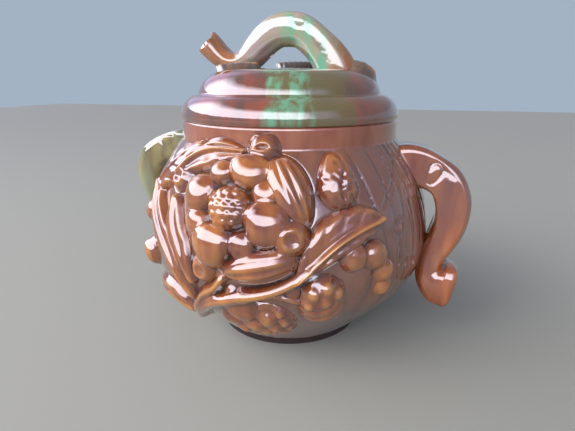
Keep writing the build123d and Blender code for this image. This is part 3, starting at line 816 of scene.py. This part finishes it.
lid_leaves = [lid_leaf_piece("lid_leaf_left", "lid_left_leaf", -38, -17, 34, 20, 10, 5.5, 5),
              lid_leaf_piece("lid_leaf_veined", "lid_veined_leaf", -1, 27, 38, 20, 0, 6.5, 8),
              lid_leaf_piece("lid_leaf_shoulder", "lid_shoulder_leaf", 55, 4, 27, 27, 8, 7.5, 4)]

# %% [markdown]
# The glaze is one recipe with different colours for each part. Lead glaze is very smooth and bends light
# strongly, so it mirrors its surroundings even where it is dark. Its colour is not even: it runs down in
# streaks and breaks to a lighter copper on high edges. Cloudy patches of lilac or grey are a painted sheen,
# a painted reflection of the sky. The hollows are painted a dark purple brown: painted crease shade, with
# glaze pooled there too. The height of the relief, stored on the mesh, tells the shader where those places
# are.

# %% The glaze recipe
def linear(value):
    """A screen colour's value from 0 to 255 as an amount of light."""
    share = value / 255
    return share / 12.92 if share <= 0.04045 else ((share + 0.055) / 1.055) ** 2.4


def srgb(*rgb):
    return tuple(linear(value) for value in rgb) + (1,)


# dark purple brown for the hollows: painted crease shade, with glaze pooled there too
POOL_AND_CREASE_SHADE = srgb(36, 12, 6)
TREACLE = srgb(96, 36, 12)
COPPER = srgb(160, 92, 30)
# lilac plum sheen: a painted reflection of the sky
PAINTED_LILAC_SHEEN = srgb(104, 50, 36)
AMBER = srgb(214, 150, 62)


class Recipe:
    """A node tree with short names for the nodes that a glaze or the sky needs."""

    def __init__(self, tree, place="Object"):
        self.tree = tree
        self.place = tree.nodes.new("ShaderNodeTexCoord").outputs[place]

    def node(self, kind, **inputs):
        made = self.tree.nodes.new(kind)
        for key, value in inputs.items():
            self.put(made.inputs[key.replace("_", " ")], value)
        return made

    def put(self, socket, value):
        if isinstance(value, bpy.types.NodeSocket):
            self.tree.links.new(value, socket)
        else:
            socket.default_value = value

    def math(self, kind, a, b=0.0, c=0.0):
        made = self.tree.nodes.new("ShaderNodeMath")
        made.operation = kind
        for socket, value in zip(made.inputs, (a, b, c)):
            self.put(socket, value)
        return made.outputs[0]

    def toward(self, direction):
        """How far a place lies in a direction."""
        made = self.tree.nodes.new("ShaderNodeVectorMath")
        made.operation = "DOT_PRODUCT"
        self.put(made.inputs[0], self.place)
        made.inputs[1].default_value = direction
        return made.outputs["Value"]

    def up(self):
        return self.node("ShaderNodeSeparateXYZ", Vector=self.place).outputs["Z"]

    def noise(self, size_mm, stretch=(1, 1, 1), detail=3.0, shift=(0, 0, 0)):
        """Cloudy noise with blotches of about this size; stretch makes them longer along an axis."""
        scaled = self.node("ShaderNodeMapping", Vector=self.place)
        scaled.inputs["Scale"].default_value = [1 / s for s in stretch]
        scaled.inputs["Location"].default_value = shift
        cloud = self.node("ShaderNodeTexNoise", Vector=scaled.outputs[0])
        cloud.inputs["Scale"].default_value = 1000 / size_mm
        cloud.inputs["Detail"].default_value = detail
        return cloud.outputs["Fac"]

    def mix(self, share, a, b):
        made = self.tree.nodes.new("ShaderNodeMix")
        made.data_type = "RGBA"
        self.put(made.inputs[0], share)
        self.put(made.inputs[6], a)
        self.put(made.inputs[7], b)
        return made.outputs[2]

    def between(self, value, low, high):
        """0 below low, 1 above high, straight between."""
        made = self.node("ShaderNodeMapRange")
        self.put(made.inputs["Value"], value)
        made.inputs["From Min"].default_value = low
        made.inputs["From Max"].default_value = high
        return made.outputs["Result"]

    def hollows(self):
        made = self.tree.nodes.new("ShaderNodeAttribute")
        made.attribute_name = "cavity"
        return made.outputs["Fac"]


class Glaze(Recipe):
    """The recipe of one glaze, with the gloss that all the glazes share."""

    def __init__(self, name):
        self.material = bpy.data.materials.new(name)
        self.material.use_nodes = True
        super().__init__(self.material.node_tree)
        self.shader = self.tree.nodes["Principled BSDF"]

    def finish(self, colour, metallic=0.06):
        constants = {"IOR": 1.6, "Metallic": metallic, "Coat Weight": 1.0, "Coat Roughness": 0.025,
                     "Coat IOR": 1.9}
        for socket, value in constants.items():
            self.shader.inputs[socket].default_value = value
        self.put(self.shader.inputs["Base Color"], colour)
        patchy = self.between(self.noise(5.0), 0.2, 0.9)
        self.put(self.shader.inputs["Roughness"], self.math("MULTIPLY_ADD", patchy, 0.08, 0.03))
        bump = self.node("ShaderNodeBump", Height=self.noise(9.0, detail=2.0))
        bump.inputs["Strength"].default_value = 0.08
        bump.inputs["Distance"].default_value = 0.002
        for socket in ("Normal", "Coat Normal"):
            self.put(self.shader.inputs[socket], bump.outputs[0])
        return self.material


def brown_glaze(name, low=TREACLE, high=COPPER, sheen=PAINTED_LILAC_SHEEN, sheen_share=0.5, collar=False):
    g = Glaze(name)
    runs = g.noise(14, (1, 1, 5), 4)
    clouds = g.noise(46, (1, 1, 1.6), 2, (3, 1, 0))
    base = g.mix(g.between(runs, 0.35, 0.68), low, high)
    # painted sheen: cloudy patches of the sheen colour stand in for the sky mirrored in the glaze
    base = g.mix(g.math("MULTIPLY", g.between(clouds, 0.42, 0.62), sheen_share), base, sheen)
    if collar:
        at_collar = g.between(g.up(), (SHOULDER_Z - 0.6) * MM, (SHOULDER_Z + 0.8) * MM)
        pink = g.mix(g.between(g.noise(12, (1, 1, 3), 2), 0.35, 0.65), srgb(122, 54, 24), srgb(142, 78, 50))
        base = g.mix(at_collar, base, pink)
    hollow = g.hollows()
    base = g.mix(g.math("MULTIPLY", g.between(hollow, 0.5, 2.2), 0.45), base, AMBER)
    # the hollows are darkened: painted crease shade, with glaze pooled there too
    base = g.mix(g.math("MULTIPLY", g.between(hollow, -0.5, -2.4), 0.8), base, POOL_AND_CREASE_SHADE)
    return g.finish(base)


ornament = brown_glaze("brown_glaze_on_relief")
# the third colour is the wall's painted sheen, a painted reflection of the sky
wall_glaze = brown_glaze("brown_glaze_on_wall", srgb(84, 38, 16), srgb(138, 80, 38), srgb(110, 72, 62),
                         0.75, collar=True)
foot_clay = Glaze("bare_fired_foot")
foot_clay.put(foot_clay.shader.inputs["Base Color"],
              foot_clay.mix(foot_clay.noise(3), srgb(30, 20, 20), srgb(58, 40, 36)))
foot_clay.shader.inputs["Roughness"].default_value = 0.7
for piece in sprig_pieces:
    piece.data.materials.append(ornament)
pot.data.materials.append(wall_glaze)
pot.data.materials.append(foot_clay.material)
for face in pot.data.polygons:
    if face.center.z < FOOT_H * MM:
        face.material_index = 1
# the third colour is a purple grey painted sheen, a painted reflection of the sky
right_glaze = brown_glaze("brown_glaze_on_handles", srgb(104, 42, 16), srgb(168, 88, 32), srgb(96, 64, 56))
# the third colour is a mint white painted sheen, a painted reflection of the sky
left_glaze = brown_glaze("olive_glaze_on_left_handle", srgb(74, 60, 30), srgb(132, 118, 66),
                         srgb(140, 156, 128), 0.7)
right.data.materials.append(right_glaze)
left.data.materials.append(left_glaze)

# %% [markdown]
# The lid has a second glaze spilled over the first: a mint to olive copper glaze that runs down its
# front, and cream with green runs over the loop. Each is placed by a direction or a distance on the lid.

# %% Glazes on the lid
CREAM, MINT, OLIVE = srgb(146, 132, 104), srgb(92, 150, 114), srgb(92, 84, 42)
GREY_BROWN, ROSE = srgb(76, 54, 46), srgb(128, 62, 40)
SPILL_RUNS, SPILL_SIDE = (0.36, -0.93, 0), (0.93, 0.36, 0)      # where the green runs to, and its side


def lid_glaze(name):
    g = Glaze(name)
    runs = g.noise(16, (1, 1, 3), 4)
    base = g.mix(g.between(runs, 0.35, 0.65), GREY_BROWN, ROSE)
    front = g.between(g.toward(SPILL_RUNS), 0.02, 0.05)
    ragged = g.math("ADD", g.toward(SPILL_SIDE), g.math("MULTIPLY", g.noise(9, (1, 1, 5)), 0.022))
    spilled = g.math("MULTIPLY", g.between(ragged, -0.013, -0.006), g.between(ragged, 0.052, 0.042))
    green = g.math("MULTIPLY", spilled, front)
    streaks = g.mix(g.between(g.noise(6, (1, 1, 9)), 0.4, 0.62), OLIVE, MINT)
    two_greens = g.mix(g.between(ragged, 0.014, 0.022), streaks, OLIVE)
    base = g.mix(g.math("MULTIPLY", green, 0.9), base, two_greens)
    # painted crease shade in the hollows, with glaze pooled there too
    base = g.mix(g.between(g.hollows(), -0.2, -1.0), base, POOL_AND_CREASE_SHADE)
    return g.finish(base, metallic=0.05)


def loop_glaze(name):
    g = Glaze(name)
    streak = g.noise(9, (1, 1, 6), 4)
    pale = g.mix(g.between(streak, 0.42, 0.58), CREAM, MINT)
    pale = g.mix(g.between(g.noise(30), 0.5, 0.65), pale, srgb(150, 130, 120))
    wobble = g.math("MULTIPLY", g.noise(18), 0.03)
    ends = g.math("ADD", g.math("ABSOLUTE", g.toward((1, 0, 0))), wobble)
    base = g.mix(g.between(ends, 0.045, 0.058), pale, g.mix(streak, srgb(96, 52, 26), srgb(170, 108, 52)))
    # painted crease shade in the hollows, with glaze pooled there too
    base = g.mix(g.between(g.hollows(), -0.3, -1.0), base, POOL_AND_CREASE_SHADE)
    return g.finish(base, metallic=0.0)


lid.data.materials.append(lid_glaze("grey_glaze_with_green_spill"))
loop.data.materials.append(loop_glaze("cream_and_green_glaze"))
# the third colour is a grey green painted sheen, a painted reflection of the sky
leaf_glaze = brown_glaze("brown_glaze_on_lid_leaves", srgb(70, 48, 40), srgb(112, 84, 60),
                         srgb(96, 100, 84), 0.6)
for piece in lid_leaves:
    piece.data.materials.append(leaf_glaze)

# %% [markdown]
# A grey floor and a hazy sky with a bright band part of the way up, brightest in front on the left. The
# glaze mirrors that band as sharp pale patches. One large warm lamp fills the same side, and is hidden
# from mirror rays. The camera stands about a forearm's length away and looks a little down.

# %% Floor, light and camera
floor_mesh = bpy.data.meshes.new("studio_floor")
floor_mesh.from_pydata([(-3, -3, 0), (3, -3, 0), (3, 3, 0), (-3, 3, 0)], [], [(0, 1, 2, 3)])
floor = bpy.data.objects.new("studio_floor", floor_mesh)
bpy.context.scene.collection.objects.link(floor)
floor_paint = bpy.data.materials.new("pale_floor")
floor_paint.use_nodes = True
paint = floor_paint.node_tree.nodes["Principled BSDF"]
paint.inputs["Base Color"].default_value = (0.27, 0.27, 0.235, 1)
paint.inputs["Roughness"].default_value = 0.75
floor_mesh.materials.append(floor_paint)

world = bpy.data.worlds.new("soft_sky")
bpy.context.scene.world = world
world.use_nodes = True
sky = Recipe(world.node_tree, "Generated")
HAZE, OVERHEAD, BEHIND = (0.37, 0.45, 0.55, 1), (0.30, 0.31, 0.36, 1), (0.30, 0.31, 0.36, 1)
LILAC, BRIGHT = (0.8, 0.8, 1.2, 1), (4.6, 4.7, 5.4, 1)
to_left_front = sky.toward((-0.62, -0.78, 0))
band = sky.mix(sky.between(to_left_front, -0.35, -0.1), BEHIND, LILAC)
band = sky.mix(sky.between(to_left_front, 0.1, 0.4), band, BRIGHT)
lower = sky.mix(sky.between(sky.up(), 0.21, 0.24), HAZE, band)
whole = sky.mix(sky.between(sky.up(), 0.62, 0.78), lower, OVERHEAD)
sky.put(sky.tree.nodes["Background"].inputs["Color"], whole)
sky.tree.nodes["Background"].inputs["Strength"].default_value = 1.0

light = bpy.data.lights.new("left_fill", "AREA")
light.shape, light.size, light.size_y = "RECTANGLE", 1.1, 0.8
light.energy, light.color = 17, (1.0, 0.93, 0.82)
lamp = bpy.data.objects.new("left_fill", light)
lamp.location = (-0.9, -1.0, 1.0)
lamp.rotation_euler = (Vector((0, 0, 0.12)) - lamp.location).to_track_quat("-Z", "Y").to_euler()
lamp.visible_glossy = False
bpy.context.scene.collection.objects.link(lamp)
bpy.context.scene.view_settings.view_transform = "Standard"

AZIMUTH, PITCH, REACH, EYE_Z = radians(16.6), radians(16.99), 0.375, 0.2055
camera_data = bpy.data.cameras.new("camera")
camera_data.sensor_width = 36.0
camera_data.lens = 27.86
camera_data.shift_x = -0.0035
camera = bpy.data.objects.new("camera", camera_data)
camera.location = (REACH * sin(AZIMUTH), -REACH * cos(AZIMUTH), EYE_Z)
camera.rotation_euler = (pi / 2 - PITCH, 0, AZIMUTH)
bpy.context.scene.collection.objects.link(camera)
bpy.context.scene.camera = camera
